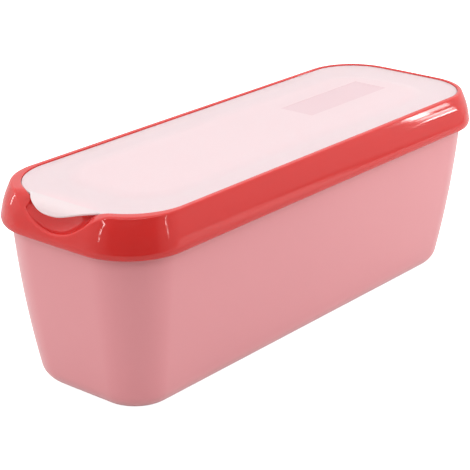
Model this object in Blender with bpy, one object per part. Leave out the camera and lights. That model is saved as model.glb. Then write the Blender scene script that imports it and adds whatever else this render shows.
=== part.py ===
"""Long plastic ice cream container, shut: a tapered tub, a collar round its top and a lid.

The collar is carved into a thumb scoop at the -X end, and the lid has a lift tab that
slopes out over the scoop. Metres, +Z up. The origin is the middle of the tub's base.
"""

import math

import bpy


MM = 0.001

# Gap kept between pieces that touch in the real container.
FIT_GAP = 0.3 * MM

# Heights of the main levels.
COLLAR_BOTTOM = 100.66 * MM
COLLAR_CREST = 124.04 * MM
LEDGE_HEIGHT = 121.3 * MM
LID_TOP = 122.9 * MM

# A shape is how far its -X and +X ends are from the middle, half its width, the corner
# radius at each end, and how far the corners draw in at the ends and at the long sides.
TUB_FOOT = (157.17 * MM, 157.17 * MM, 43.76 * MM, 23.0 * MM, 23.0 * MM, 0.0, 0.0)
TUB_MOUTH = (172.39 * MM, 172.39 * MM, 56.63 * MM, 33.9 * MM, 33.9 * MM, 0.0, 0.0)
TUB_BULGE = 5.88 * MM
TUB_BASE_FILLET = 10.3 * MM

# The neck stops short of the collar's scoop, so its -X end is the nearer one.
NECK = (158.5 * MM, 165.5 * MM, 51.5 * MM, 33.0 * MM, 29.0 * MM, 0.8 * MM, 0.1 * MM)

# The collar's outside: heights above its bottom edge, and at each the distance to either
# end, half the width, the corner radius and how far the corners draw in.
COLLAR_WALL = (
    (0.0 * MM, 176.63 * MM, 60.87 * MM, 36.4 * MM, 1.28 * MM, -0.43 * MM),
    (0.4 * MM, 177.2 * MM, 61.44 * MM, 36.7 * MM, 1.28 * MM, -0.43 * MM),
    (1.3 * MM, 177.66 * MM, 61.9 * MM, 36.9 * MM, 1.28 * MM, -0.43 * MM),
    (3.4 * MM, 178.0 * MM, 62.24 * MM, 37.1 * MM, 1.28 * MM, -0.43 * MM),
    (5.7 * MM, 177.7 * MM, 61.94 * MM, 37.0 * MM, 1.28 * MM, -0.42 * MM),
    (8.0 * MM, 177.33 * MM, 61.57 * MM, 36.8 * MM, 1.26 * MM, -0.4 * MM),
    (12.0 * MM, 176.55 * MM, 60.86 * MM, 36.4 * MM, 1.2 * MM, -0.3 * MM),
    (17.0 * MM, 175.0 * MM, 59.7 * MM, 35.8 * MM, 1.05 * MM, -0.1 * MM),
    (22.4 * MM, 172.75 * MM, 58.1 * MM, 35.0 * MM, 0.83 * MM, 0.12 * MM),
)
WIDEST_LEVEL = 3

# The crest rounds over from the wall and again at its inner edge. Each step is how far in
# from the edge a point is, and how far below the crest.
CREST_OUTER_FALL = 1.3 * MM
CREST_OUTER_STEPS = ((0.4 * MM, 0.36 * MM), (1.3 * MM, 0.0 * MM))
CREST_INNER_STEPS = ((0.65 * MM, 0.06 * MM), (0.0 * MM, 0.6 * MM))
SCOOP_LIP_WIDTH = 2.4 * MM

# The crest reaches in to the lid, and in the scoop it narrows to a lip. It lets go of the
# lid between these shares of the scoop's depth.
LIP_LETS_GO = (0.12, 0.5)

# The thumb scoop: the crest dips over this half width, by this much at its middle.
SCOOP_HALF_WIDTH = 42.0 * MM
SCOOP_DEPTH = 16.0 * MM
SCOOP_SHARPNESS = 1.2
SCOOP_FIRST_STEP = 0.04

# Inside its lip the scoop's floor first dips a little and then curves up to the neck. The
# curve's factor makes share * (1 - share)**2 reach 1 where the dip is deepest.
SCOOP_DIP = 0.5 * MM
SCOOP_DIP_CURVE = 6.75
SCOOP_BOWL_POWER = 1.8
SCOOP_FLOOR_STEPS = (0.2, 0.45, 0.65, 0.8, 0.92, 1.0)

# The lid, the foot of its raised middle panel, and the tab.
LID = (168.3 * MM, 169.18 * MM, 54.54 * MM, 38.0 * MM, 31.5 * MM, 0.83 * MM, 0.12 * MM)
LID_EDGE_RADIUS = 0.5 * MM
LID_PANEL_FOOT = (144.0 * MM, 149.0 * MM, 41.0 * MM, 26.0 * MM, 26.0 * MM, 6.0 * MM, 0.0)
LID_FLANK_WIDTH = 11.0 * MM
LID_PANEL_RISE = 0.6 * MM
TAB_HINGE_X = -165.2 * MM
TAB_ROOT_X = -166.5 * MM
TAB_HALF_WIDTH = 26.0 * MM
TAB_LENGTH = 11.5 * MM
TAB_DROP = 3.4 * MM
TAB_CURL = 3.5
TAB_SQUARENESS = 2.4
TAB_THICKNESS = 1.2 * MM
TAB_ROUND = 0.25 * MM
TAB_BEND_SHARES = (0.5, 0.8)

# Edges that turn by more than this are drawn sharp.
SHARP_ANGLE = math.radians(35.0)

# How many stretches each part of an outline is split into, and rings up the tub's wall.
HALF_END_STEPS = 8
CORNER_STEPS = 14
SIDE_STEPS = 8
FAR_END_STEPS = 6
FILLET_STEPS = 5
WALL_STEPS = 6

# The tab takes this many of the lid's columns on each side of the middle of the -X end.
TAB_STEPS = HALF_END_STEPS + 2

# The materials: colour, roughness and metallic value.
TUB_FINISH = ((0.78, 0.32, 0.34), 0.45, 0.0)
COLLAR_FINISH = ((0.68, 0.06, 0.055), 0.25, 0.0)
LID_FINISH = ((0.9, 0.78, 0.79), 0.4, 0.0)


def clear_scene():
    """Remove the objects that a new file starts with."""
    for thing in list(bpy.data.objects):
        bpy.data.objects.remove(thing, do_unlink=True)


def make_collection(name):
    """Return a new collection linked to the scene."""
    collection = bpy.data.collections.new(name)
    bpy.context.scene.collection.children.link(collection)
    return collection


def make_material(name, finish):
    """Return a Principled material with a plain colour."""
    colour, roughness, metallic = finish
    material = bpy.data.materials.new(name)
    material.use_nodes = True
    shader = material.node_tree.nodes["Principled BSDF"]
    shader.inputs["Base Color"].default_value = (*colour, 1.0)
    shader.inputs["Roughness"].default_value = roughness
    shader.inputs["Metallic"].default_value = metallic
    return material


def blend_shapes(low, high, share):
    """Return the shape a share of the way from low to high."""
    return tuple(a + (b - a) * share for a, b in zip(low, high))


def grow_shape(shape, distance):
    """Return the shape with its outline moved outwards."""
    grown = tuple(size + distance for size in shape[:5])
    return grown + shape[5:]


def outline(shape):
    """Return (x, y) points round a bowed, round-cornered rectangle.

    They start in the middle of the -X end and run towards -Y. Every outline has the
    same number of points, so that any two can be joined.
    """
    near_end, far_end, half_width, near_corner, far_corner, end_bow, side_bow = shape
    near_x = near_corner - near_end
    far_x = far_end - far_corner
    near_y = half_width - near_corner
    far_y = half_width - far_corner
    points = []

    def straight(start, end, steps):
        for step in range(steps):
            share = step / steps
            x = start[0] + (end[0] - start[0]) * share
            y = start[1] + (end[1] - start[1]) * share
            points.append((x, y))

    def arc(middle_x, middle_y, radius, start_degrees):
        for step in range(CORNER_STEPS):
            angle = math.radians(start_degrees + 90.0 * step / CORNER_STEPS)
            x = middle_x + radius * math.cos(angle)
            y = middle_y + radius * math.sin(angle)
            points.append((x, y))

    straight((-near_end, 0.0), (-near_end, -near_y), HALF_END_STEPS)
    arc(near_x, -near_y, near_corner, 180.0)
    straight((near_x, -half_width), (far_x, -half_width), SIDE_STEPS)
    arc(far_x, -far_y, far_corner, 270.0)
    straight((far_end, -far_y), (far_end, far_y), FAR_END_STEPS)
    arc(far_x, far_y, far_corner, 0.0)
    straight((far_x, half_width), (near_x, half_width), SIDE_STEPS)
    arc(near_x, near_y, near_corner, 90.0)
    straight((-near_end, near_y), (-near_end, 0.0), HALF_END_STEPS)

    bowed = []
    for x, y in points:
        shrink_x = 1.0 - end_bow / far_end * (y / half_width) ** 2
        shrink_y = 1.0 - side_bow / half_width * (x / far_end) ** 2
        bowed.append((x * shrink_x, y * shrink_y))
    return bowed


def ring_at(points, height):
    """Lift an outline to a height."""
    return [(x, y, height) for x, y in points]


def loft(name, rings, material, collection, ring_shaped=False):
    """Join rings of points, from the bottom up, into one closed solid.

    A ring-shaped solid joins its last ring to its first. Any other gets a flat face
    at the bottom and at the top.
    """
    count = len(rings[0])
    vertices = [point for ring in rings for point in ring]
    faces = []
    last = len(rings) if ring_shaped else len(rings) - 1
    for level in range(last):
        low = level * count
        high = (level + 1) % len(rings) * count
        for place in range(count):
            after = (place + 1) % count
            faces.append((low + place, low + after, high + after, high + place))
    if not ring_shaped:
        top = (len(rings) - 1) * count
        faces.append(tuple(reversed(range(count))))
        faces.append(tuple(range(top, top + count)))
    mesh = bpy.data.meshes.new(name)
    mesh.from_pydata(vertices, [], faces)
    mesh.shade_smooth()
    mesh.set_sharp_from_angle(angle=SHARP_ANGLE)
    mesh.materials.append(material)
    solid = bpy.data.objects.new(name, mesh)
    collection.objects.link(solid)
    return solid


def tub_shape(height):
    """Return the tub's outline shape at a height, with the round of its base."""
    share = height / COLLAR_BOTTOM
    below = max(TUB_BASE_FILLET - height, 0.0)
    round_inset = TUB_BASE_FILLET - math.sqrt(TUB_BASE_FILLET**2 - below**2)
    bulge = TUB_BULGE * share * (1.0 - share)
    near_end, far_end, half_width, near_corner, far_corner, end_bow, side_bow = blend_shapes(
        TUB_FOOT, TUB_MOUTH, share
    )
    return (
        near_end + bulge - round_inset,
        far_end + bulge - round_inset,
        half_width + bulge - round_inset,
        near_corner - round_inset / 2.0,
        far_corner - round_inset / 2.0,
        end_bow,
        side_bow,
    )


def make_tub(collection):
    """The tub: a tapered body with a round base, and a neck that the collar sits round."""
    shoulder = COLLAR_BOTTOM - FIT_GAP
    heights = []
    for step in range(FILLET_STEPS):
        angle = math.radians(90.0 * step / FILLET_STEPS)
        heights.append(TUB_BASE_FILLET * (1.0 - math.cos(angle)))
    for step in range(WALL_STEPS + 1):
        heights.append(TUB_BASE_FILLET + (shoulder - TUB_BASE_FILLET) * step / WALL_STEPS)
    rings = [ring_at(outline(tub_shape(height)), height) for height in heights]
    neck = outline(NECK)
    rings.append(ring_at(neck, shoulder))
    rings.append(ring_at(neck, LEDGE_HEIGHT))
    return loft("tub", rings, make_material("tub_plastic", TUB_FINISH), collection)


def wall_outline(height):
    """Return the collar's outer outline at a height above the floor."""
    above = min(max(height - COLLAR_BOTTOM, 0.0), COLLAR_WALL[-1][0])
    for low, high in zip(COLLAR_WALL, COLLAR_WALL[1:]):
        if above <= high[0]:
            level = blend_shapes(low, high, (above - low[0]) / (high[0] - low[0]))
            _, end, half_width, corner, end_bow, side_bow = level
            return outline((end, end, half_width, corner, corner, end_bow, side_bow))
    raise ValueError("the height is above the collar's wall")


def smooth_step(share):
    """Return a share eased in and out between 0 and 1."""
    share = min(max(share, 0.0), 1.0)
    return share * share * (3.0 - 2.0 * share)


def scoop_share(y):
    """Return how much of the scoop's depth is taken away at a distance from its middle."""
    return 1.0 - smooth_step((abs(y) / SCOOP_HALF_WIDTH) ** SCOOP_SHARPNESS)


def between(start, end, share):
    """Return the (x, y) point a share of the way from start to end."""
    return (start[0] + (end[0] - start[0]) * share, start[1] + (end[1] - start[1]) * share)


def crest_points(edge, inner_edge, crest):
    """Return the points over the crest, from just inside its outer edge to its inner edge."""
    width = math.dist(edge, inner_edge)
    points = []
    for inset, fall in CREST_OUTER_STEPS:
        points.append((*between(edge, inner_edge, inset / width), crest - fall))
    for inset, fall in CREST_INNER_STEPS:
        points.append((*between(inner_edge, edge, inset / width), crest - fall))
    return points


def floor_points(inner_edge, neck_edge, inner_height, carved, let_go):
    """Return the points from the crest's inner edge to the neck: the ledge, or the scoop."""
    floor = min(LEDGE_HEIGHT, inner_height)
    points = []
    for share in (SCOOP_FIRST_STEP * carved,) + SCOOP_FLOOR_STEPS:
        dip = SCOOP_DIP * let_go * SCOOP_DIP_CURVE * share * (1.0 - share) ** 2
        height = floor - dip + (LEDGE_HEIGHT - floor) * share**SCOOP_BOWL_POWER
        points.append((*between(inner_edge, neck_edge, share), height))
    return points


def make_collar(collection):
    """The collar: a rounded band whose crest dips into a thumb scoop at the -X end."""
    widest = wall_outline(COLLAR_BOTTOM + COLLAR_WALL[WIDEST_LEVEL][0])
    neck_wall = outline(grow_shape(NECK, FIT_GAP))
    lid_wall = outline(grow_shape(LID, FIT_GAP))
    wall_span = COLLAR_CREST - CREST_OUTER_FALL - COLLAR_BOTTOM
    columns = []
    for place, (x, y) in enumerate(widest):
        carved = scoop_share(y) if x < 0.0 else 0.0
        crest = COLLAR_CREST - SCOOP_DEPTH * carved
        squeeze = (crest - CREST_OUTER_FALL - COLLAR_BOTTOM) / wall_span
        column = []
        for level in COLLAR_WALL:
            height = COLLAR_BOTTOM + level[0] * squeeze
            column.append((*wall_outline(height)[place], height))
        edge = column[-1][:2]
        neck_edge = neck_wall[place]
        lip_edge = between(edge, neck_edge, SCOOP_LIP_WIDTH / math.dist(edge, neck_edge))
        start, end = LIP_LETS_GO
        let_go = smooth_step((carved - start) / (end - start))
        inner_edge = between(lid_wall[place], lip_edge, let_go)
        inner_height = crest - CREST_INNER_STEPS[-1][1]
        column += crest_points(edge, inner_edge, crest)
        column += floor_points(inner_edge, neck_edge, inner_height, carved, let_go)
        column.append((*neck_edge, COLLAR_BOTTOM))
        columns.append(column)
    rings = [list(ring) for ring in zip(*columns)]
    material = make_material("collar_plastic", COLLAR_FINISH)
    return loft("collar", rings, material, collection, ring_shaped=True)


def tab_top(x):
    """Return the height of the tab's top, which curls down towards its tip."""
    reach = max(TAB_ROOT_X - x, 0.0) / TAB_LENGTH
    return LID_TOP - TAB_DROP * reach**TAB_CURL


def tab_column(hinge_point, side, share):
    """Return the points round the tab's edge, from the hinge's underside to its top.

    share runs from 0 in the middle to 1 where the tab's side meets the lid's edge.
    """
    tip_x = TAB_ROOT_X - TAB_LENGTH * (1.0 - share**TAB_SQUARENESS)
    tip = (tip_x, side * TAB_HALF_WIDTH * share)
    tip_inside = (tip_x + TAB_ROUND, tip[1])
    tip_top = tab_top(tip_x)
    tip_bottom = tip_top - TAB_THICKNESS
    bends = [between(hinge_point, tip_inside, bend) for bend in TAB_BEND_SHARES]
    column = [(*hinge_point, LEDGE_HEIGHT + FIT_GAP)]
    column += [(*bend, tab_top(bend[0]) - TAB_THICKNESS) for bend in bends]
    column.append((*tip_inside, tip_bottom))
    column.append((*tip, tip_bottom + TAB_ROUND))
    column.append((*tip, tip_top - TAB_ROUND))
    column.append((*tip_inside, tip_top))
    column += [(*bend, tab_top(bend[0])) for bend in reversed(bends)]
    column.append((*hinge_point, LID_TOP))
    return column


def edge_column(hinge_point, edge_point, inside_point):
    """Return the points round the lid's edge, from its underside to its top."""
    bottom = LEDGE_HEIGHT + FIT_GAP
    bends = [between(hinge_point, inside_point, bend) for bend in TAB_BEND_SHARES]
    column = [(*hinge_point, bottom)]
    column += [(*bend, bottom) for bend in bends]
    column.append((*inside_point, bottom))
    column.append((*edge_point, bottom + LID_EDGE_RADIUS / 2.0))
    column.append((*edge_point, LID_TOP - LID_EDGE_RADIUS / 2.0))
    column.append((*inside_point, LID_TOP))
    column += [(*bend, LID_TOP) for bend in reversed(bends)]
    column.append((*hinge_point, LID_TOP))
    return column


def make_lid(collection):
    """The lid: a plate with a raised panel, and a tab that curls down over the scoop."""
    edge = outline(LID)
    inside = outline(grow_shape(LID, -LID_EDGE_RADIUS))
    hinge = outline(grow_shape(LID, -(LID[0] + TAB_HINGE_X)))
    panel_foot = outline(LID_PANEL_FOOT)
    panel_top = outline(grow_shape(LID_PANEL_FOOT, -LID_FLANK_WIDTH))
    columns = []
    for place in range(len(edge)):
        from_middle = min(place, len(edge) - place)
        if from_middle <= TAB_STEPS:
            side = -1.0 if place <= TAB_STEPS else 1.0
            column = tab_column(hinge[place], side, from_middle / TAB_STEPS)
        else:
            column = edge_column(hinge[place], edge[place], inside[place])
        column.append((*panel_foot[place], LID_TOP))
        column.append((*panel_top[place], LID_TOP + LID_PANEL_RISE))
        columns.append(column)
    rings = [list(ring) for ring in zip(*columns)]
    return loft("lid", rings, make_material("lid_plastic", LID_FINISH), collection)


def main():
    """Build the three pieces of the container."""
    clear_scene()
    collection = make_collection("ice_cream_container")
    make_tub(collection)
    make_collar(collection)
    make_lid(collection)


if __name__ == "__main__":
    main()
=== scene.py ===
"""Looks of a shut, long plastic ice cream container: frosted tub, glossy collar and pale lid.

Each piece is a loft: a ring of points that is extruded from level to level. Metres, +Z up.
The thumb scoop and the lid's tab are at the -X end.
"""

import math

import bmesh
import bpy
from mathutils import Matrix, Vector


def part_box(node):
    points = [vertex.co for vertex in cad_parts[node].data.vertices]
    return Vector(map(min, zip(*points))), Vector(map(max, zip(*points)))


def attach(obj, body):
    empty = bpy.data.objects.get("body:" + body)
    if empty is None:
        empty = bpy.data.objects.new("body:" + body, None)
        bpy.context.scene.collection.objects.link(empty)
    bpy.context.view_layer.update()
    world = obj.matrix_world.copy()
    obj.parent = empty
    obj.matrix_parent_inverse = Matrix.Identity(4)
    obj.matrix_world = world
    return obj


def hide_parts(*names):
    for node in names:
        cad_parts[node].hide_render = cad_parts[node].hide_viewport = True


bl_info = {
    "name": "Ice Cream Container",
    "version": (1, 0, 0),
    "blender": (4, 5, 0),
    "location": "View3D > Sidebar > Container",
    "description": "Builds a shut plastic ice cream tub with a collar and a lid",
    "category": "Add Mesh",
}

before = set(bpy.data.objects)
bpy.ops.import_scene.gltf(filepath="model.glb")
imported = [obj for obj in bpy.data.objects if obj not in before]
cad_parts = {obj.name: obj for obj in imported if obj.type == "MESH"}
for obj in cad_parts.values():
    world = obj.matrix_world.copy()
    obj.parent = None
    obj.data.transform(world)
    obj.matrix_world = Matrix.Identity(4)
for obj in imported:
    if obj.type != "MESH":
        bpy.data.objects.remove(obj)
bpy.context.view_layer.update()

MM = 0.001

# Gap kept between pieces that touch in the real container.
FIT_GAP = 0.3 * MM

# Heights of the main levels.
COLLAR_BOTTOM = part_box("collar")[0].z
COLLAR_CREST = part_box("collar")[1].z
LEDGE_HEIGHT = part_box("tub")[1].z
LID_TOP = 122.9 * MM

# A shape is how far its -X and +X ends are from the middle, half its width, the corner
# radius at each end, and how far the corners draw in at the ends and at the long sides.
TUB_FOOT = (157.17 * MM, 157.17 * MM, 43.76 * MM, 23.0 * MM, 23.0 * MM, 0.0, 0.0)
TUB_MOUTH = (172.39 * MM, 172.39 * MM, 56.63 * MM, 33.9 * MM, 33.9 * MM, 0.0, 0.0)
NECK = (158.5 * MM, 165.5 * MM, 51.5 * MM, 33.0 * MM, 29.0 * MM, 0.8 * MM, 0.1 * MM)
LID = (168.3 * MM, 169.18 * MM, 54.54 * MM, 38.0 * MM, 31.5 * MM, 0.83 * MM, 0.12 * MM)
PANEL_FOOT = (144.0 * MM, 149.0 * MM, 41.0 * MM, 26.0 * MM, 26.0 * MM, 6.0 * MM, 0.0)

# The collar's outside: heights above its bottom edge, and at each the distance to either
# end, half the width, the corner radius and how far the corners draw in.
COLLAR_WALL = (
    (0.0 * MM, 176.63 * MM, 60.87 * MM, 36.4 * MM, 1.28 * MM, -0.43 * MM),
    (0.4 * MM, 177.2 * MM, 61.44 * MM, 36.7 * MM, 1.28 * MM, -0.43 * MM),
    (1.3 * MM, 177.66 * MM, 61.9 * MM, 36.9 * MM, 1.28 * MM, -0.43 * MM),
    (3.4 * MM, 178.0 * MM, 62.24 * MM, 37.1 * MM, 1.28 * MM, -0.43 * MM),
    (5.7 * MM, 177.7 * MM, 61.94 * MM, 37.0 * MM, 1.28 * MM, -0.42 * MM),
    (8.0 * MM, 177.33 * MM, 61.57 * MM, 36.8 * MM, 1.26 * MM, -0.4 * MM),
    (12.0 * MM, 176.55 * MM, 60.86 * MM, 36.4 * MM, 1.2 * MM, -0.3 * MM),
    (17.0 * MM, 175.0 * MM, 59.7 * MM, 35.8 * MM, 1.05 * MM, -0.1 * MM),
    (22.4 * MM, 172.75 * MM, 58.1 * MM, 35.0 * MM, 0.83 * MM, 0.12 * MM),
)

# Where the wall gets its rings, in millimetres above its bottom edge. Under the scoop they
# are squeezed together. The scoop is measured along the outline at the widest height.
COLLAR_LEVELS = (
    0.0, 0.15, 0.4, 0.8, 1.3, 1.9, 2.6, 3.4, 4.5, 5.7, 6.8, 8.0, 9.3, 10.6,
    12.0, 13.6, 15.3, 17.0, 18.8, 20.6, 22.43,
)
WIDEST_HEIGHT = 3.4 * MM

# The crest rounds over from the wall, starting at the wall's slope, and again at its
# inner edge.
CREST_RADIUS = 1.75 * MM
CREST_START = math.radians(16.0)
CREST_FALL = CREST_RADIUS * (1.0 - math.sin(CREST_START))
CREST_INNER_ROUND = 0.65 * MM
CREST_INNER_FALL = 0.6 * MM
CREST_ROUND_STEPS = 6

# The crest reaches in to the lid, and in the scoop it narrows to a lip. It lets go of the
# lid between these shares of the scoop's depth.
SCOOP_SHARPNESS = 1.2
SCOOP_LIP_WIDTH = 2.4 * MM
LIP_LETS_GO = (0.12, 0.5)

# Inside its lip the scoop's floor first dips a little and then curves up to the neck. The
# curve's factor makes share * (1 - share)**2 reach 1 where the dip is deepest.
SCOOP_FIRST_STEP = 0.04
SCOOP_DIP = 0.5 * MM
SCOOP_DIP_CURVE = 6.75
SCOOP_BOWL_POWER = 1.8
SCOOP_FLOOR_STEPS = (0.1, 0.2, 0.35, 0.5, 0.6, 0.7, 0.78, 0.86, 0.93, 0.98, 1.0)

# The tab, and the shares of the way from its hinge to its tip where it is bent.
HINGE_X = -165.2 * MM
TAB_ROOT_X = -166.5 * MM
TAB_HALF_WIDTH = 26.0 * MM
TAB_SQUARENESS = 2.4
TAB_CURL = 3.5
TAB_THICKNESS = 1.2 * MM
TAB_BENDS = (0.12, 0.3, 0.45, 0.58, 0.7, 0.8, 0.88, 0.95)

# The round of the tab's and the lid's edges, and the low bead round the lid.
EDGE_RADIUS = 0.35 * MM
EDGE_ROUND_STEPS = 3
EDGE_BEAD = 0.45 * MM
EDGE_BEAD_WIDTH = 1.6 * MM

# The flank of the lid's raised panel. The writing area is its low and high X and its low
# and high Y. It is sunk, with a narrow slope round it.
FLANK_WIDTH = 11.0 * MM
FLANK_STEPS = (0.0, 0.12, 0.25, 0.4, 0.55, 0.7, 0.8, 0.88, 0.94, 1.0)
WRITING_AREA = (46.3 * MM, 128.3 * MM, -9.4 * MM, 15.6 * MM)
WRITING_SLOPE = 0.25 * MM
WRITING_DEPTH = 0.2 * MM

# Stretches along each part of an outline: half the -X end, a corner, a side, the +X end.
# The tab takes some places on each side of the middle of the -X end.
HALF_END_STEPS = 14
CORNER_STEPS = 30
SIDE_STEPS = 28
FAR_END_STEPS = 14
TAB_STEPS = HALF_END_STEPS + 5

# Rings up the round of the tub's base and up its wall.
BASE_ROUND_STEPS = 10
WALL_STEPS = 24

# Points closer than this are one, and edges that turn by more than this are drawn sharp.
WELD_DISTANCE = 0.001 * MM
SHARP_ANGLE = math.radians(30.0)
COLLAR_SHARP_ANGLE = math.radians(40.0)

# Each plastic's surface: the scale and height of its grain, the scale of its clouds, and
# how far they lighten and darken its colour.
TUB_SURFACE = (1400.0, 0.02 * MM, 14.0, 0.02)
COLLAR_SURFACE = (260.0, 0.003 * MM, 10.0, 0.02)
LID_SURFACE = (1100.0, 0.012 * MM, 16.0, 0.01)
ROUGHNESS_SPREAD = 0.25
PLASTIC_IOR = 1.49

# The tub's frosted bloom. Inside the collar and the lid light scatters: how much of it,
# how far for each colour, and at what scale.
TUB_SHEEN = 0.6
TUB_SHEEN_ROUGHNESS = 0.4
COLLAR_SCATTER = (0.4, (1.0, 0.15, 0.12), 4.0 * MM)
LID_SCATTER = (0.8, (1.0, 0.85, 0.85), 4.0 * MM)

# Across the hinge the lid's colour passes into the tab's, from the first X to the second.
TAB_TONE = (HINGE_X + 1.5 * MM, HINGE_X - 0.5 * MM)


class TubSettings(bpy.types.PropertyGroup):
    """Sizes and finish of the tub."""

    base_round: bpy.props.FloatProperty(
        name="Base Round",
        description="Radius of the round between the tub's wall and its base",
        default=10.3 * MM,
        min=2.0 * MM,
        max=14.0 * MM,
        unit="LENGTH",
    )
    bulge: bpy.props.FloatProperty(
        name="Wall Bulge",
        description="How much the tapered wall bows outwards",
        default=5.88 * MM,
        min=0.0,
        max=8.0 * MM,
        unit="LENGTH",
    )
    colour: bpy.props.FloatVectorProperty(
        name="Colour",
        description="Colour of the frosted plastic",
        default=(0.762, 0.286, 0.306),
        size=3,
        min=0.0,
        max=1.0,
        subtype="COLOR",
    )
    roughness: bpy.props.FloatProperty(
        name="Roughness",
        description="How frosted the tub's surface is",
        default=0.38,
        min=0.0,
        max=1.0,
        subtype="FACTOR",
    )


class CollarSettings(bpy.types.PropertyGroup):
    """Sizes and finish of the collar."""

    scoop_half_width: bpy.props.FloatProperty(
        name="Scoop Half Width",
        description="Distance from the middle of the thumb scoop to where the crest is level",
        default=42.0 * MM,
        min=30.0 * MM,
        max=44.0 * MM,
        unit="LENGTH",
    )
    scoop_depth: bpy.props.FloatProperty(
        name="Scoop Depth",
        description="How far the crest dips in the middle of the thumb scoop",
        default=16.0 * MM,
        min=8.0 * MM,
        max=17.0 * MM,
        unit="LENGTH",
    )
    colour: bpy.props.FloatVectorProperty(
        name="Colour",
        description="Colour of the glossy plastic",
        default=(0.65, 0.03, 0.026),
        size=3,
        min=0.0,
        max=1.0,
        subtype="COLOR",
    )
    roughness: bpy.props.FloatProperty(
        name="Roughness",
        description="How far the gloss is blurred",
        default=0.045,
        min=0.0,
        max=1.0,
        subtype="FACTOR",
    )


class LidSettings(bpy.types.PropertyGroup):
    """Sizes and finish of the lid."""

    panel_rise: bpy.props.FloatProperty(
        name="Panel Rise",
        description="How far the lid's middle stands above its border",
        default=1.0 * MM,
        min=0.0,
        max=1.0 * MM,
        unit="LENGTH",
    )
    tab_length: bpy.props.FloatProperty(
        name="Tab Length",
        description="How far the lift tab reaches out from the lid's edge",
        default=11.5 * MM,
        min=6.0 * MM,
        max=11.5 * MM,
        unit="LENGTH",
    )
    tab_drop: bpy.props.FloatProperty(
        name="Tab Drop",
        description="How far the tab's tip curls down",
        default=3.4 * MM,
        min=0.0,
        max=3.4 * MM,
        unit="LENGTH",
    )
    colour: bpy.props.FloatVectorProperty(
        name="Colour",
        description="Colour of the lid's milky plastic",
        default=(0.757, 0.575, 0.596),
        size=3,
        min=0.0,
        max=1.0,
        subtype="COLOR",
    )
    tab_colour: bpy.props.FloatVectorProperty(
        name="Tab Colour",
        description="Colour of the lift tab",
        default=(0.725, 0.62, 0.63),
        size=3,
        min=0.0,
        max=1.0,
        subtype="COLOR",
    )
    writing_colour: bpy.props.FloatVectorProperty(
        name="Writing Area Colour",
        description="Colour of the bare matt area to write on",
        default=(0.715, 0.508, 0.538),
        size=3,
        min=0.0,
        max=1.0,
        subtype="COLOR",
    )
    roughness: bpy.props.FloatProperty(
        name="Roughness",
        description="How matt the lid is",
        default=0.42,
        min=0.0,
        max=1.0,
        subtype="FACTOR",
    )


class StudioSettings(bpy.types.PropertyGroup):
    """Light, floor and camera."""

    floor_colour: bpy.props.FloatVectorProperty(
        name="Floor Colour",
        description="Colour of the plain floor",
        default=(0.92, 0.92, 0.92),
        size=3,
        min=0.0,
        max=1.0,
        subtype="COLOR",
    )
    tent_brightness: bpy.props.FloatProperty(
        name="Tent Brightness",
        description="How bright the white light tent round the container is",
        default=1.0,
        min=0.0,
        max=5.0,
    )
    rim_brightness: bpy.props.FloatProperty(
        name="Rim Brightness",
        description="How bright the rim of the tent's opening is",
        default=7.0,
        min=0.0,
        max=100.0,
    )
    softbox_brightness: bpy.props.FloatProperty(
        name="Softbox Brightness",
        description="Scales the brightness of the slatted softboxes",
        default=1.0,
        min=0.0,
        max=10.0,
    )
    tab_light: bpy.props.FloatProperty(
        name="Light Through Tab",
        description="Power of the light that the milky tab lets through on to the scoop",
        default=0.00086,
        min=0.0,
        max=0.01,
        precision=5,
    )
    fill_power: bpy.props.FloatProperty(
        name="Fill Power",
        description="Power of the soft fill on the right, and of a weaker one on the left",
        default=2.0,
        min=0.0,
        max=50.0,
    )
    lens: bpy.props.FloatProperty(
        name="Lens",
        description="Focal length of the camera",
        default=125.4,
        min=20.0,
        max=300.0,
        unit="CAMERA",
    )


def ease(share):
    """Return a share eased in and out between 0 and 1."""
    share = min(max(share, 0.0), 1.0)
    return share * share * (3.0 - 2.0 * share)


def grow_shape(shape, distance):
    """Return the shape with its outline moved outwards."""
    grown = tuple(size + distance for size in shape[:5])
    return grown + shape[5:]


def stations():
    """Return where the points of every outline stand: which stretch, and how far along it."""
    stretches = (
        ("near end", HALF_END_STEPS),
        ("near corner", CORNER_STEPS),
        ("side", SIDE_STEPS),
        ("far corner", CORNER_STEPS),
        ("far end", FAR_END_STEPS),
        ("far corner back", CORNER_STEPS),
        ("side back", SIDE_STEPS),
        ("near corner back", CORNER_STEPS),
        ("near end back", HALF_END_STEPS),
    )
    places = []
    for stretch, steps in stretches:
        places += [(stretch, step / steps) for step in range(steps)]
    return places


STATIONS = stations()
RING_SIZE = len(STATIONS)


def outline_point(shape, place):
    """Return one (x, y) point of a bowed, round-cornered rectangle."""
    near_end, far_end, half_width, near_corner, far_corner, end_bow, side_bow = shape
    stretch, share = STATIONS[place]
    back = stretch.endswith(" back")
    if back:
        share = 1.0 - share
    near_x = near_corner - near_end
    far_x = far_end - far_corner
    angle = math.radians(90.0 * share)
    if stretch.startswith("near end"):
        x, y = -near_end, -(half_width - near_corner) * share
    elif stretch.startswith("near corner"):
        x = near_x - near_corner * math.cos(angle)
        y = near_corner - half_width - near_corner * math.sin(angle)
    elif stretch.startswith("side"):
        x, y = near_x + (far_x - near_x) * share, -half_width
    elif stretch.startswith("far corner"):
        x = far_x + far_corner * math.sin(angle)
        y = far_corner - half_width - far_corner * math.cos(angle)
    else:
        x, y = far_end, (half_width - far_corner) * (2.0 * share - 1.0)
    if back:
        y = -y
    shrink_x = 1.0 - end_bow / far_end * (y / half_width) ** 2
    shrink_y = 1.0 - side_bow / half_width * (x / far_end) ** 2
    return x * shrink_x, y * shrink_y


def outline(shape):
    """Return the (x, y) points of a whole outline, from the middle of the -X end."""
    return [outline_point(shape, place) for place in range(RING_SIZE)]


def ring_at(points, height):
    """Lift an outline to a height."""
    return [(x, y, height) for x, y in points]


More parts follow.
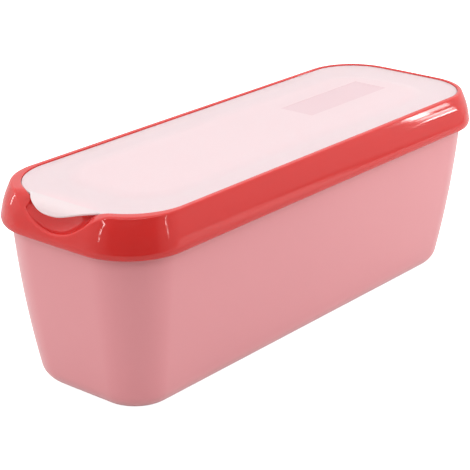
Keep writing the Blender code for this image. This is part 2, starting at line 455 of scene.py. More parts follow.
def between(start, end, share):
    """Return the (x, y) point a share of the way from start to end."""
    return (start[0] + (end[0] - start[0]) * share, start[1] + (end[1] - start[1]) * share)


def first_ring(mesh, points):
    """Start a loft from a circle whose corners are moved to the points."""
    made = bmesh.ops.create_circle(mesh, cap_ends=False, segments=len(points), radius=1.0)
    ring = made["verts"]
    for vertex, point in zip(ring, points):
        vertex.co = point
    return ring


def next_ring(mesh, ring, points):
    """Extrude a ring's edges and move the new corners to the points."""
    count = len(ring)
    edges = [mesh.edges.get((ring[i], ring[(i + 1) % count])) for i in range(count)]
    made = bmesh.ops.extrude_edge_only(mesh, edges=edges)
    new = {part for part in made["geom"] if isinstance(part, bmesh.types.BMVert)}
    raised = []
    for vertex, point in zip(ring, points):
        twin = next(e.other_vert(vertex) for e in vertex.link_edges if e.other_vert(vertex) in new)
        twin.co = point
        raised.append(twin)
    return raised


def loft(rings, closed_ring=False):
    """Return a closed mesh lofted through rings of points, and its last face."""
    mesh = bmesh.new()
    first = first_ring(mesh, rings[0])
    ring = first
    for points in rings[1:]:
        ring = next_ring(mesh, ring, points)
    cap = None
    if closed_ring:
        last = next_ring(mesh, ring, rings[0])
        bmesh.ops.remove_doubles(mesh, verts=first + last, dist=WELD_DISTANCE)
    else:
        bmesh.ops.contextual_create(mesh, geom=first)
        cap = bmesh.ops.contextual_create(mesh, geom=ring)["faces"][0]
    bmesh.ops.recalc_face_normals(mesh, faces=mesh.faces[:])
    return mesh, cap


def finish_piece(name, mesh, material, slot, sharp_angle=SHARP_ANGLE):
    """Turn a finished mesh into an object that rides on the frame in place of a CAD node."""
    data = bpy.data.meshes.new(name)
    mesh.to_mesh(data)
    mesh.free()
    data.shade_smooth()
    data.set_sharp_from_angle(angle=sharp_angle)
    data.materials.append(material)
    piece = bpy.data.objects.new(name, data)
    bpy.context.scene.collection.objects.link(piece)
    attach(piece, "root")
    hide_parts(slot)
    return piece


def tub_shape(settings, height):
    """Return the tub's outline shape at a height, with the round of its base."""
    share = height / COLLAR_BOTTOM
    base_round = settings.base_round
    below = max(base_round - height, 0.0)
    inset = base_round - math.sqrt(base_round**2 - below**2)
    bulge = settings.bulge * share * (1.0 - share)
    sizes = [low + (high - low) * share for low, high in zip(TUB_FOOT, TUB_MOUTH)]
    for index in range(3):
        sizes[index] += bulge - inset
    for index in (3, 4):
        sizes[index] -= inset / 2.0
    return tuple(sizes)


def collar_level(height):
    """Return the collar's outline shape at a height above its bottom edge, by smooth steps."""
    heights = [level[0] for level in COLLAR_WALL]
    height = min(max(height, 0.0), heights[-1])
    last = len(heights) - 2
    low = min(sum(1 for level in heights[1:] if level < height), last)
    span = heights[low + 1] - heights[low]
    share = (height - heights[low]) / span

    def slope(index, column):
        before = max(index - 1, 0)
        after = min(index + 1, len(heights) - 1)
        rise = COLLAR_WALL[after][column] - COLLAR_WALL[before][column]
        return rise / (heights[after] - heights[before])

    sizes = []
    for column in range(1, 6):
        start = COLLAR_WALL[low][column]
        end = COLLAR_WALL[low + 1][column]
        start_slope = slope(low, column) * span
        end_slope = slope(low + 1, column) * span
        square = share * share
        cube = square * share
        sizes.append(
            start * (2.0 * cube - 3.0 * square + 1.0)
            + start_slope * (cube - 2.0 * square + share)
            + end * (3.0 * square - 2.0 * cube)
            + end_slope * (cube - square)
        )
    end, half_width, corner, end_bow, side_bow = sizes
    return (end, end, half_width, corner, corner, end_bow, side_bow)


def scoop_share(settings, y):
    """Return how much of the scoop's depth is taken away at a distance from its middle."""
    return 1.0 - ease((abs(y) / settings.scoop_half_width) ** SCOOP_SHARPNESS)


def crest_points(edge, inner_edge, crest):
    """Return the points over the crest, from just inside its outer edge to its inner edge."""
    width = math.dist(edge, inner_edge)
    points = []
    for step in range(1, CREST_ROUND_STEPS + 1):
        angle = CREST_START + (math.radians(90.0) - CREST_START) * step / CREST_ROUND_STEPS
        inset = CREST_RADIUS * (math.cos(CREST_START) - math.cos(angle))
        fall = CREST_RADIUS * (1.0 - math.sin(angle))
        points.append((*between(edge, inner_edge, inset / width), crest - fall))
    for step in range(CREST_ROUND_STEPS + 1):
        angle = math.radians(90.0 * step / CREST_ROUND_STEPS)
        inset = CREST_INNER_ROUND * (1.0 - math.sin(angle))
        fall = CREST_INNER_FALL * (1.0 - math.cos(angle))
        points.append((*between(inner_edge, edge, inset / width), crest - fall))
    return points


def floor_points(inner_edge, neck_edge, inner_height, carved, let_go):
    """Return the points from the crest's inner edge to the neck: the ledge, or the scoop."""
    floor = min(LEDGE_HEIGHT, inner_height)
    points = []
    for share in (SCOOP_FIRST_STEP * carved,) + SCOOP_FLOOR_STEPS:
        dip = SCOOP_DIP * let_go * SCOOP_DIP_CURVE * share * (1.0 - share) ** 2
        height = floor - dip + (LEDGE_HEIGHT - floor) * share**SCOOP_BOWL_POWER
        points.append((*between(inner_edge, neck_edge, share), height))
    return points


def collar_column(settings, place, neck_edge, lid_edge):
    """Return the collar's profile at one place round it, from outside to inside."""
    widest = outline_point(collar_level(WIDEST_HEIGHT), place)
    carved = scoop_share(settings, widest[1]) if widest[0] < 0.0 else 0.0
    crest = COLLAR_CREST - settings.scoop_depth * carved
    squeeze = (crest - CREST_FALL - COLLAR_BOTTOM) / (COLLAR_LEVELS[-1] * MM)
    column = []
    for level in COLLAR_LEVELS:
        above = level * MM
        reached = above * squeeze
        column.append((*outline_point(collar_level(reached), place), COLLAR_BOTTOM + reached))
    edge = column[-1][:2]
    lip_edge = between(edge, neck_edge, SCOOP_LIP_WIDTH / math.dist(edge, neck_edge))
    start, end = LIP_LETS_GO
    let_go = ease((carved - start) / (end - start))
    inner_edge = between(lid_edge, lip_edge, let_go)
    inner_height = crest - CREST_INNER_FALL
    column += crest_points(edge, inner_edge, crest)
    column += floor_points(inner_edge, neck_edge, inner_height, carved, let_go)
    column.append((*neck_edge, COLLAR_BOTTOM))
    return column


def tab_top(settings, x):
    """Return the height of the tab's top, which curls down towards its tip."""
    reach = max(TAB_ROOT_X - x, 0.0) / settings.tab_length
    return LID_TOP - settings.tab_drop * reach**TAB_CURL


def edge_round():
    """Return how far in from an edge's side, and up from its underside, its round runs."""
    points = []
    for step in range(EDGE_ROUND_STEPS + 1):
        angle = math.radians(90.0 * step / EDGE_ROUND_STEPS)
        inwards = EDGE_RADIUS * (1.0 - math.sin(angle))
        upwards = EDGE_RADIUS * (1.0 - math.cos(angle))
        points.append((inwards, upwards))
    return points


def tab_column(settings, hinge_point, side, share):
    """Return the points round the tab's edge, from the hinge's underside to its top."""
    tip_x = TAB_ROOT_X - settings.tab_length * (1.0 - share**TAB_SQUARENESS)
    tip_y = side * TAB_HALF_WIDTH * share
    inside = (tip_x + EDGE_RADIUS, tip_y)
    top = tab_top(settings, tip_x)
    bottom = top - TAB_THICKNESS
    bends = [between(hinge_point, inside, bend) for bend in TAB_BENDS]
    column = [(*hinge_point, LEDGE_HEIGHT + FIT_GAP)]
    column += [(*bend, tab_top(settings, bend[0]) - TAB_THICKNESS) for bend in bends]
    for inwards, upwards in edge_round():
        column.append((tip_x + inwards, tip_y, bottom + upwards))
    for inwards, upwards in reversed(edge_round()):
        column.append((tip_x + inwards, tip_y, top - upwards))
    column += [(*bend, tab_top(settings, bend[0])) for bend in reversed(bends)]
    column.append((*hinge_point, LID_TOP))
    return column


def edge_column(hinge_point, edge_point):
    """Return the points round the lid's edge, from its underside to its raised bead."""
    bottom = LEDGE_HEIGHT + FIT_GAP
    width = math.dist(hinge_point, edge_point)
    inside = between(edge_point, hinge_point, EDGE_RADIUS / width)
    bends = [between(hinge_point, inside, bend) for bend in TAB_BENDS]
    column = [(*hinge_point, bottom)]
    column += [(*bend, bottom) for bend in bends]
    for inwards, upwards in edge_round():
        point = between(edge_point, hinge_point, inwards / width)
        column.append((*point, bottom + upwards))
    for inwards, upwards in reversed(edge_round()):
        point = between(edge_point, hinge_point, inwards / width)
        column.append((*point, LID_TOP + EDGE_BEAD - upwards))
    for bend in reversed(bends):
        inwards = math.dist(bend, edge_point) / EDGE_BEAD_WIDTH
        column.append((*bend, LID_TOP + EDGE_BEAD * (1.0 - ease(inwards))))
    column.append((*hinge_point, LID_TOP))
    return column


def sink_writing_area(mesh, panel):
    """Cut a rectangle into the lid's flat panel and sink it a little."""
    low_x, high_x, low_y, high_y = WRITING_AREA
    cuts = (
        ((low_x, 0.0, 0.0), (1.0, 0.0, 0.0)),
        ((high_x, 0.0, 0.0), (1.0, 0.0, 0.0)),
        ((0.0, low_y, 0.0), (0.0, 1.0, 0.0)),
        ((0.0, high_y, 0.0), (0.0, 1.0, 0.0)),
    )
    height = panel.calc_center_median().z
    faces = [panel]
    for point, normal in cuts:
        edges = {edge for face in faces for edge in face.edges}
        corners = {corner for face in faces for corner in face.verts}
        made = bmesh.ops.bisect_plane(
            mesh,
            geom=faces + list(edges) + list(corners),
            dist=WELD_DISTANCE,
            plane_co=point,
            plane_no=normal,
        )
        faces = [part for part in made["geom"] if isinstance(part, bmesh.types.BMFace)]
    middle = Vector(((low_x + high_x) / 2.0, (low_y + high_y) / 2.0, height))
    area = min(faces, key=lambda face: (face.calc_center_median() - middle).length)
    bmesh.ops.inset_region(mesh, faces=[area], thickness=WRITING_SLOPE, depth=-WRITING_DEPTH)


def add_node(tree, kind, values=None, **attributes):
    """Add a shader node, with its attributes and the values of its inputs."""
    node = tree.nodes.new(kind)
    for name, value in attributes.items():
        setattr(node, name, value)
    for name, value in (values or {}).items():
        node.inputs[name].default_value = value
    return node


def moulded_surface_group():
    """The fine grain and faint cloudiness that moulded plastic has, as masks and a height."""
    name = "moulded_surface"
    if name in bpy.data.node_groups:
        return bpy.data.node_groups[name]
    group = bpy.data.node_groups.new(name, "ShaderNodeTree")
    sockets = group.interface
    for label in ("Grain Size", "Cloud Size"):
        sockets.new_socket(label, in_out="INPUT", socket_type="NodeSocketFloat")
    for label in ("Grain", "Cloud"):
        sockets.new_socket(label, in_out="OUTPUT", socket_type="NodeSocketFloat")
    start = add_node(group, "NodeGroupInput")
    end = add_node(group, "NodeGroupOutput")
    place = add_node(group, "ShaderNodeTexCoord")
    grain = add_node(group, "ShaderNodeTexNoise", {"Detail": 3.0, "Roughness": 0.6})
    cloud = add_node(group, "ShaderNodeTexNoise", {"Detail": 2.0, "Roughness": 0.45})
    group.links.new(place.outputs["Object"], grain.inputs["Vector"])
    group.links.new(place.outputs["Object"], cloud.inputs["Vector"])
    group.links.new(start.outputs["Grain Size"], grain.inputs["Scale"])
    group.links.new(start.outputs["Cloud Size"], cloud.inputs["Scale"])
    group.links.new(grain.outputs["Fac"], end.inputs["Grain"])
    group.links.new(cloud.outputs["Fac"], end.inputs["Cloud"])
    return group


def lid_zones_group():
    """Masks of the lid's tab and of its writing area, from the place on the lid."""
    name = "lid_zones"
    if name in bpy.data.node_groups:
        return bpy.data.node_groups[name]
    group = bpy.data.node_groups.new(name, "ShaderNodeTree")
    for label in ("Tab", "Writing Area"):
        group.interface.new_socket(label, in_out="OUTPUT", socket_type="NodeSocketFloat")
    end = add_node(group, "NodeGroupOutput")
    place = add_node(group, "ShaderNodeTexCoord")
    parts = add_node(group, "ShaderNodeSeparateXYZ")
    group.links.new(place.outputs["Object"], parts.inputs["Vector"])
    tab = add_node(
        group,
        "ShaderNodeMapRange",
        {"From Min": TAB_TONE[0], "From Max": TAB_TONE[1]},
        interpolation_type="SMOOTHSTEP",
    )
    group.links.new(parts.outputs["X"], tab.inputs["Value"])
    group.links.new(tab.outputs["Result"], end.inputs["Tab"])
    inside = add_node(group, "ShaderNodeMath", operation="MULTIPLY")
    low_x, high_x, low_y, high_y = WRITING_AREA
    for index, (axis, low, high) in enumerate((("X", low_x, high_x), ("Y", low_y, high_y))):
        away = add_node(group, "ShaderNodeMath", operation="COMPARE")
        away.inputs[1].default_value = (low + high) / 2.0
        away.inputs[2].default_value = (high - low) / 2.0
        group.links.new(parts.outputs[axis], away.inputs[0])
        group.links.new(away.outputs["Value"], inside.inputs[index])
    group.links.new(inside.outputs["Value"], end.inputs["Writing Area"])
    return group


def plastic_material(name, settings, finish):
    """A moulded plastic: grain in its bump and roughness, and cloudiness in its colour."""
    grain_size, grain_height, cloud_size, tint = finish
    material = bpy.data.materials.new(name)
    material.use_nodes = True
    tree = material.node_tree
    shader = tree.nodes["Principled BSDF"]
    surface = add_node(tree, "ShaderNodeGroup", node_tree=moulded_surface_group())
    surface.inputs["Grain Size"].default_value = grain_size
    surface.inputs["Cloud Size"].default_value = cloud_size
    mix = add_node(tree, "ShaderNodeMix", data_type="RGBA", blend_type="MIX")
    for socket, scale in (("A", 1.0 - tint), ("B", 1.0 + tint)):
        colour = [min(part * scale, 1.0) for part in settings.colour]
        mix.inputs[socket].default_value = (*colour, 1.0)
    tree.links.new(surface.outputs["Cloud"], mix.inputs["Factor"])
    tree.links.new(mix.outputs["Result"], shader.inputs["Base Color"])
    smoothest = settings.roughness * (1.0 - ROUGHNESS_SPREAD)
    roughest = settings.roughness * (1.0 + ROUGHNESS_SPREAD)
    gloss = add_node(tree, "ShaderNodeMapRange", {"To Min": smoothest, "To Max": roughest})
    tree.links.new(surface.outputs["Grain"], gloss.inputs["Value"])
    tree.links.new(gloss.outputs["Result"], shader.inputs["Roughness"])
    bump = add_node(tree, "ShaderNodeBump", {"Distance": grain_height, "Strength": 1.0})
    tree.links.new(surface.outputs["Grain"], bump.inputs["Height"])
    tree.links.new(bump.outputs["Normal"], shader.inputs["Normal"])
    shader.inputs["IOR"].default_value = PLASTIC_IOR
    return material, shader, mix


def scatter_light(shader, scatter):
    """Let light scatter a little way inside a plastic."""
    weight, reach, scale = scatter
    shader.inputs["Subsurface Weight"].default_value = weight
    shader.inputs["Subsurface Radius"].default_value = reach
    shader.inputs["Subsurface Scale"].default_value = scale


class CONTAINER_OT_make_tub(bpy.types.Operator):
    """Make the frosted tub, with its round base and its neck"""

    bl_idname = "container.make_tub"
    bl_label = "Make Tub"

    def execute(self, context):
        settings = context.scene.container_tub
        shoulder = COLLAR_BOTTOM - FIT_GAP
        heights = []
        for step in range(BASE_ROUND_STEPS):
            angle = math.radians(90.0 * step / BASE_ROUND_STEPS)
            heights.append(settings.base_round * (1.0 - math.cos(angle)))
        wall = shoulder - settings.base_round
        for step in range(WALL_STEPS + 1):
            heights.append(settings.base_round + wall * step / WALL_STEPS)
        rings = [ring_at(outline(tub_shape(settings, height)), height) for height in heights]
        neck = outline(NECK)
        rings.append(ring_at(neck, shoulder))
        rings.append(ring_at(neck, LEDGE_HEIGHT))
        mesh, _ = loft(rings)
        material, shader, _ = plastic_material("frosted_pink", settings, TUB_SURFACE)
        shader.inputs["Sheen Weight"].default_value = TUB_SHEEN
        shader.inputs["Sheen Roughness"].default_value = TUB_SHEEN_ROUGHNESS
        finish_piece("frosted_tub", mesh, material, "tub")
        return {"FINISHED"}


class CONTAINER_OT_make_collar(bpy.types.Operator):
    """Make the glossy collar, with the thumb scoop carved into its crest"""

    bl_idname = "container.make_collar"
    bl_label = "Make Collar"

    def execute(self, context):
        settings = context.scene.container_collar
        neck_wall = outline(grow_shape(NECK, FIT_GAP))
        lid_wall = outline(grow_shape(LID, FIT_GAP))
        columns = [
            collar_column(settings, place, neck_wall[place], lid_wall[place])
            for place in range(RING_SIZE)
        ]
        rings = [list(ring) for ring in zip(*columns)]
        mesh, _ = loft(rings, closed_ring=True)
        material, shader, _ = plastic_material("glossy_red", settings, COLLAR_SURFACE)
        scatter_light(shader, COLLAR_SCATTER)
        finish_piece("glossy_collar", mesh, material, "collar", COLLAR_SHARP_ANGLE)
        return {"FINISHED"}


class CONTAINER_OT_make_lid(bpy.types.Operator):
    """Make the pale lid, with its raised panel, its writing area and its lift tab"""

    bl_idname = "container.make_lid"
    bl_label = "Make Lid"

    def execute(self, context):
        settings = context.scene.container_lid
        edge = outline(LID)
        hinge = outline(grow_shape(LID, -(LID[0] + HINGE_X)))
        flank = [outline(grow_shape(PANEL_FOOT, -FLANK_WIDTH * share)) for share in FLANK_STEPS]
        columns = []
        for place in range(RING_SIZE):
            from_middle = min(place, RING_SIZE - place)
            if from_middle <= TAB_STEPS:
                side = -1.0 if place <= TAB_STEPS else 1.0
                column = tab_column(settings, hinge[place], side, from_middle / TAB_STEPS)
            else:
                column = edge_column(hinge[place], edge[place])
            for share, points in zip(FLANK_STEPS, flank):
                column.append((*points[place], LID_TOP + settings.panel_rise * ease(share)))
            columns.append(column)
        rings = [list(ring) for ring in zip(*columns)]
        mesh, panel = loft(rings)
        sink_writing_area(mesh, panel)
        material, shader, clouded = plastic_material("milky_white", settings, LID_SURFACE)
        tree = material.node_tree
        zones = add_node(tree, "ShaderNodeGroup", node_tree=lid_zones_group())
        under = clouded
        for zone, tone in (("Tab", settings.tab_colour), ("Writing Area", settings.writing_colour)):
            over = add_node(tree, "ShaderNodeMix", data_type="RGBA", blend_type="MIX")
            over.inputs["B"].default_value = (*tone, 1.0)
            tree.links.new(zones.outputs[zone], over.inputs["Factor"])
            tree.links.new(under.outputs["Result"], over.inputs["A"])
            under = over
        tree.links.new(under.outputs["Result"], shader.inputs["Base Color"])
        scatter_light(shader, LID_SCATTER)
        finish_piece("pale_lid", mesh, material, "lid")
        return {"FINISHED"}


# The container stands in a white light tent that opens towards the camera. A direction is
# degrees round from +X and degrees above the horizon, as seen from the studio's centre.
STUDIO_CENTRE = Vector((0.0, 0.0, 0.115))
OPENING_TURN = -133.5
OPENING_HALF_WIDTH = 53.0
OPENING_TOP = 38.0
OPENING_FOOT = 0.3
OPENING_ROUNDNESS = 2.5

# The lit rim of the opening: half its width in degrees, how far away it is, and the size
# of the beads that its light is broken up into.
RIM_HALF_WIDTH = 0.8
RIM_DISTANCE = 1.2
RIM_STEPS = 96
BEAD_SIZE = 0.07

# Stops of the tent's brightness: from behind the container round to the opening, and from
# straight down to straight up. A level of 1 stands for RAMP_TOP times the tent's brightness.
RAMP_TOP = 2.0
TENT_AROUND = ((0.0, 1.0), (0.413, 1.0), (0.75, 0.68), (0.83, 0.5), (0.9, 0.16), (1.0, 0.13))
TENT_ABOVE = (
    (0.437, 0.25),
    (0.44, 0.42),
    (0.52, 0.48),
    (0.6, 0.5),
    (0.67, 0.45),
    (0.76, 0.66),
    (1.0, 0.6),
)

# The tent closes over the opening between these heights of a direction of length 1.
OPENING_FADE = (0.42, 0.65)

# The white sheet under the container: how far it reaches towards the opening, to either
# side and to the back, how far below the base it lies, and how much it dims its colour.
SHEET_FRONT = 0.5
SHEET_RIGHT = 0.84
SHEET_LEFT = 3.0
SHEET_BACK = 3.0
SHEET_DEPTH = 0.5 * MM
SHEET_COLOUR = 0.73

# The panes of the slatted softbox, and a single one on the left: degrees round and above,
# width and height in metres, brightness.
PANES = (
    (-36.05, 5.1, 0.037, 0.152, 18.0),
    (-34.9, 5.0, 0.055, 0.1, 8.5),
    (-35.0, 2.2, 0.09, 0.024, 13.0),
    (-34.8, 1.25, 0.095, 0.016, 8.0),
    (-34.7, 0.25, 0.1, 0.022, 24.0),
    (-36.62, -0.6, 0.005, 0.018, 12.0),
)
LEFT_PANE = (108.0, 1.5, 0.05, 0.2, 12.0)
PANE_DISTANCE = 2.0

# The soft fills: name, degrees round, and share of the fill power.
FILLS = (("right_fill", -45.0, 1.0), ("left_fill", 140.0, 0.5))
FILL_ABOVE = 16.0
FILL_DISTANCE = 0.8
FILL_SIZE = 0.5

# The lamp under the tab, which shines down and a little inwards.
TAB_LAMP_SIZE = (11.0 * MM, 46.0 * MM)
TAB_LAMP_PLACE = (-171.2 * MM, 0.0, 120.4 * MM)
TAB_LAMP_TILT = math.radians(-8.0)

# The camera, fitted to the photograph's edges: its place, and its right, up and back.
CAMERA_PLACE = (-0.75495, -0.60591, 0.42850)
CAMERA_RIGHT = (0.635407, -0.772176, -0.001396)
CAMERA_UP = (0.279417, 0.228239, 0.932648)
CAMERA_BACK = (-0.719850, -0.593001, 0.360784)
SENSOR_WIDTH = 36.0


def studio_point(around, above, distance):
    """Return the point in a direction from the studio's centre."""
    around = math.radians(around)
    above = math.radians(above)
    flat = distance * math.cos(above)
    offset = Vector((flat * math.cos(around), flat * math.sin(around), distance * math.sin(above)))
    return STUDIO_CENTRE + offset


def face_centre(thing, around, above, distance):
    """Put a pane or a lamp in a direction, with its -Z towards the studio's centre."""
    place = studio_point(around, above, distance)
    turn = (place - STUDIO_CENTRE).to_track_quat("Z", "Y")
    thing.matrix_world = Matrix.Translation(place) @ turn.to_matrix().to_4x4()


def glow_material(name, brightness, bead_size=0.0):
    """A glowing white diffuser, even or broken up into beads of light."""
    material = bpy.data.materials.new(name)
    material.use_nodes = True
    tree = material.node_tree
    shader = tree.nodes["Principled BSDF"]
    shader.inputs["Base Color"].default_value = (0.0, 0.0, 0.0, 1.0)
    shader.inputs["Specular IOR Level"].default_value = 0.0
    shader.inputs["Emission Color"].default_value = (1.0, 1.0, 1.0, 1.0)
    shader.inputs["Emission Strength"].default_value = brightness
    if bead_size:
        place = add_node(tree, "ShaderNodeTexCoord")
        beads = add_node(tree, "ShaderNodeTexNoise", {"Scale": 1.0 / bead_size, "Detail": 0.0})
        tree.links.new(place.outputs["Object"], beads.inputs["Vector"])
        level = add_node(
            tree,
            "ShaderNodeMapRange",
            {"From Min": 0.35, "From Max": 0.65, "To Min": 0.1, "To Max": 2.0},
        )
        tree.links.new(beads.outputs["Fac"], level.inputs["Value"])
        tree.links.new(level.outputs["Result"], shader.inputs["Emission Color"])
    return material


def add_stage_piece(name, mesh, material):
    """Add a piece of the studio that isn't part of the container."""
    data = bpy.data.meshes.new(name)
    mesh.to_mesh(data)
    mesh.free()
    data.materials.append(material)
    piece = bpy.data.objects.new(name, data)
    bpy.context.scene.collection.objects.link(piece)
    return piece


def add_pane(name, around, above, width, height, brightness):
    """Add a flat glowing pane that faces the container."""
    mesh = bmesh.new()
    bmesh.ops.create_grid(mesh, x_segments=1, y_segments=1, size=0.5)
    bmesh.ops.scale(mesh, verts=mesh.verts[:], vec=(width, height, 1.0))
    pane = add_stage_piece(name, mesh, glow_material(name, brightness))
    face_centre(pane, around, above, PANE_DISTANCE)
    pane.visible_camera = False


def add_lamp(name, shape, size, power):
    """Add a soft lamp, with a width and a height, that shines along its own -Z."""
    light = bpy.data.lights.new(name, "AREA")
    light.shape = shape
    light.size, light.size_y = size
    light.energy = power
    lamp = bpy.data.objects.new(name, light)
    bpy.context.scene.collection.objects.link(lamp)
    return lamp


def add_opening_rim(brightness):
    """Add the glowing rim of the tent's arched opening."""
    mesh = bmesh.new()
    bmesh.ops.create_grid(mesh, x_segments=1, y_segments=RIM_STEPS, size=1.0)
    for corner in mesh.verts:
        swing = math.radians(90.0 * corner.co.y)
        side = math.copysign(1.0, swing)
        outwards = RIM_HALF_WIDTH * corner.co.x
        share = 2.0 / OPENING_ROUNDNESS
        width = OPENING_HALF_WIDTH + outwards
        height = OPENING_TOP + outwards - OPENING_FOOT
        around = OPENING_TURN + side * width * abs(math.sin(swing)) ** share
        above = OPENING_FOOT + height * abs(math.cos(swing)) ** share
        corner.co = studio_point(around, above, RIM_DISTANCE)
    rim = add_stage_piece("opening_rim", mesh, glow_material("rim_glow", brightness, BEAD_SIZE))
    rim.visible_camera = False


def set_ramp(node, stops):
    """Give a colour ramp its grey stops, each a place and a level."""
    ramp = node.color_ramp
    while len(ramp.elements) < len(stops):
        ramp.elements.new(0.5)
    for element, (place, level) in zip(ramp.elements, stops):
        element.position = place
        element.color = (level, level, level, 1.0)


class CONTAINER_OT_make_studio(bpy.types.Operator):
    """Make the floor, the lights, the backdrop and the camera"""

    bl_idname = "container.make_studio"
    bl_label = "Make Studio"

    def execute(self, context):
        settings = context.scene.container_studio
        scene = context.scene
        self.make_floor(settings)
        self.make_lights(settings)
        self.make_backdrop(scene, settings)
        self.make_camera(scene, settings)
        scene.view_settings.view_transform = "Standard"
        scene.view_settings.look = "None"
        return {"FINISHED"}

    def make_floor(self, settings):
        """A plain white sheet that ends before the opening. The camera sees it as white."""
        mesh = bmesh.new()
        bmesh.ops.create_grid(mesh, x_segments=1, y_segments=1, size=0.5)
        length = SHEET_FRONT + SHEET_BACK
        width = SHEET_LEFT + SHEET_RIGHT
        bmesh.ops.scale(mesh, verts=mesh.verts[:], vec=(length, width, 1.0))
        middle = (SHEET_FRONT - length / 2.0, SHEET_RIGHT - width / 2.0, -SHEET_DEPTH)
        bmesh.ops.translate(mesh, verts=mesh.verts[:], vec=middle)
        turn = Matrix.Rotation(math.radians(OPENING_TURN), 3, "Z")
        bmesh.ops.rotate(mesh, verts=mesh.verts[:], cent=(0.0, 0.0, 0.0), matrix=turn)
        material = bpy.data.materials.new("white_sheet")
        material.use_nodes = True
        tree = material.node_tree
        shader = tree.nodes["Principled BSDF"]
        colour = [part * SHEET_COLOUR for part in settings.floor_colour]
        shader.inputs["Base Color"].default_value = (*colour, 1.0)
        shader.inputs["Roughness"].default_value = 0.9
        shader.inputs["Specular IOR Level"].default_value = 0.0
        seen = add_node(tree, "ShaderNodeLightPath")
        glow = add_node(tree, "ShaderNodeMix", data_type="RGBA")
        glow.inputs["A"].default_value = (0.0, 0.0, 0.0, 1.0)
        glow.inputs["B"].default_value = (1.0, 1.0, 1.0, 1.0)
        tree.links.new(seen.outputs["Is Camera Ray"], glow.inputs["Factor"])
        tree.links.new(glow.outputs["Result"], shader.inputs["Emission Color"])
        shader.inputs["Emission Strength"].default_value = 1.0
        add_stage_piece("sheet", mesh, material)

    def make_lights(self, settings):
        """The lit rim of the tent's opening, the softboxes, the fills and the tab's lamp."""
        add_opening_rim(settings.rim_brightness)
        panes = [("softbox_pane_{}".format(index), pane) for index, pane in enumerate(PANES)]
        for name, pane in panes + [("softbox_left", LEFT_PANE)]:
            around, above, width, height, brightness = pane
            brightness *= settings.softbox_brightness
            add_pane(name, around, above, width, height, brightness)
        for name, around, share in FILLS:
            size = (FILL_SIZE, FILL_SIZE)
            fill = add_lamp(name, "RECTANGLE", size, settings.fill_power * share)
            face_centre(fill, around, FILL_ABOVE, FILL_DISTANCE)
            fill.visible_glossy = False
        under_tab = add_lamp("light_through_tab", "ELLIPSE", TAB_LAMP_SIZE, settings.tab_light)
        tilt = Matrix.Rotation(TAB_LAMP_TILT, 4, "Y")
        under_tab.matrix_world = Matrix.Translation(TAB_LAMP_PLACE) @ tilt

    def make_backdrop(self, scene, settings):
        """A white light tent, dark at its opening. The camera itself sees plain white."""
        world = bpy.data.worlds.new("light_tent")
        world.use_nodes = True
        tree = world.node_tree
        background = tree.nodes["Background"]
        background.inputs["Color"].default_value = (1.0, 1.0, 1.0, 1.0)
        place = add_node(tree, "ShaderNodeTexCoord")
        parts = add_node(tree, "ShaderNodeSeparateXYZ")
        tree.links.new(place.outputs["Generated"], parts.inputs["Vector"])
        flat = add_node(tree, "ShaderNodeVectorMath", operation="MULTIPLY")
        flat.inputs[1].default_value = (1.0, 1.0, 0.0)
        tree.links.new(place.outputs["Generated"], flat.inputs[0])
        level = add_node(tree, "ShaderNodeVectorMath", operation="NORMALIZE")
        tree.links.new(flat.outputs["Vector"], level.inputs[0])
        facing = add_node(tree, "ShaderNodeVectorMath", operation="DOT_PRODUCT")
        opening = math.radians(OPENING_TURN)
        facing.inputs[1].default_value = (math.cos(opening), math.sin(opening), 0.0)
        tree.links.new(level.outputs["Vector"], facing.inputs[0])
        turned = add_node(tree, "ShaderNodeMapRange", {"From Min": -1.0, "From Max": 1.0})
        tree.links.new(facing.outputs["Value"], turned.inputs["Value"])
        around = add_node(tree, "ShaderNodeValToRGB")
        set_ramp(around, TENT_AROUND)
        tree.links.new(turned.outputs["Result"], around.inputs["Fac"])
        lift = add_node(tree, "ShaderNodeMapRange", {"From Min": -1.0, "From Max": 1.0})
        tree.links.new(parts.outputs["Z"], lift.inputs["Value"])
        above = add_node(tree, "ShaderNodeValToRGB")
        set_ramp(above, TENT_ABOVE)
        tree.links.new(lift.outputs["Result"], above.inputs["Fac"])
        top = add_node(
            tree,
            "ShaderNodeMapRange",
            {"From Min": OPENING_FADE[0], "From Max": OPENING_FADE[1]},
            interpolation_type="SMOOTHSTEP",
        )
        tree.links.new(parts.outputs["Z"], top.inputs["Value"])
        closed = add_node(tree, "ShaderNodeMix", data_type="FLOAT")
        closed.inputs["B"].default_value = 1.0
        tree.links.new(top.outputs["Result"], closed.inputs["Factor"])
        tree.links.new(around.outputs["Color"], closed.inputs["A"])
        glow = add_node(tree, "ShaderNodeMath", operation="MULTIPLY")
        tree.links.new(closed.outputs["Result"], glow.inputs[0])
        tree.links.new(above.outputs["Color"], glow.inputs[1])
        strength = add_node(tree, "ShaderNodeMath", operation="MULTIPLY")
        strength.inputs[1].default_value = settings.tent_brightness * RAMP_TOP
        tree.links.new(glow.outputs["Value"], strength.inputs[0])
        seen = add_node(tree, "ShaderNodeLightPath")
        plain = add_node(tree, "ShaderNodeMix", data_type="FLOAT", clamp_factor=True)
        plain.inputs["B"].default_value = 1.0
        tree.links.new(seen.outputs["Is Camera Ray"], plain.inputs["Factor"])
        tree.links.new(strength.outputs["Value"], plain.inputs["A"])
        tree.links.new(plain.outputs["Result"], background.inputs["Strength"])
        scene.world = world

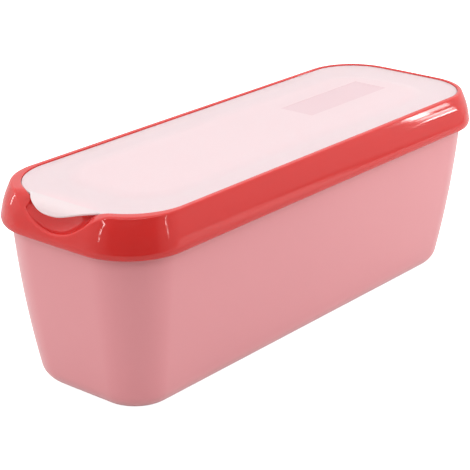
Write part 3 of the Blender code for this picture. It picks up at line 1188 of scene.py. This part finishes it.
    def make_camera(self, scene, settings):
        """The camera at the photograph's viewing angle."""
        data = bpy.data.cameras.new("camera")
        data.lens = settings.lens
        data.sensor_width = SENSOR_WIDTH
        data.clip_start = 0.01
        camera = bpy.data.objects.new("camera", data)
        turn = Matrix((CAMERA_RIGHT, CAMERA_UP, CAMERA_BACK)).transposed().to_4x4()
        camera.matrix_world = Matrix.Translation(CAMERA_PLACE) @ turn
        scene.collection.objects.link(camera)
        scene.camera = camera


class CONTAINER_PT_panel(bpy.types.Panel):
    """The container's sizes and finishes"""

    bl_idname = "CONTAINER_PT_panel"
    bl_label = "Ice Cream Container"
    bl_space_type = "VIEW_3D"
    bl_region_type = "UI"
    bl_category = "Container"

    def draw(self, context):
        groups = (
            (context.scene.container_tub, "container.make_tub"),
            (context.scene.container_collar, "container.make_collar"),
            (context.scene.container_lid, "container.make_lid"),
            (context.scene.container_studio, "container.make_studio"),
        )
        for settings, operator in groups:
            box = self.layout.box()
            for name in settings.bl_rna.properties.keys():
                if name not in ("rna_type", "name"):
                    box.prop(settings, name)
            box.operator(operator)


SETTINGS = (
    ("container_tub", TubSettings),
    ("container_collar", CollarSettings),
    ("container_lid", LidSettings),
    ("container_studio", StudioSettings),
)

CLASSES = (
    TubSettings,
    CollarSettings,
    LidSettings,
    StudioSettings,
    CONTAINER_OT_make_tub,
    CONTAINER_OT_make_collar,
    CONTAINER_OT_make_lid,
    CONTAINER_OT_make_studio,
    CONTAINER_PT_panel,
)


def register():
    """Register the classes and the scene's settings."""
    for item in CLASSES:
        bpy.utils.register_class(item)
    for name, group in SETTINGS:
        setattr(bpy.types.Scene, name, bpy.props.PointerProperty(type=group))


def unregister():
    """Remove the scene's settings and the classes."""
    for name, _ in SETTINGS:
        delattr(bpy.types.Scene, name)
    for item in reversed(CLASSES):
        bpy.utils.unregister_class(item)


def main():
    """Build the container and its studio."""
    register()
    bpy.ops.container.make_tub()
    bpy.ops.container.make_collar()
    bpy.ops.container.make_lid()
    bpy.ops.container.make_studio()
    bpy.context.view_layer.update()


if __name__ == "__main__":
    main()
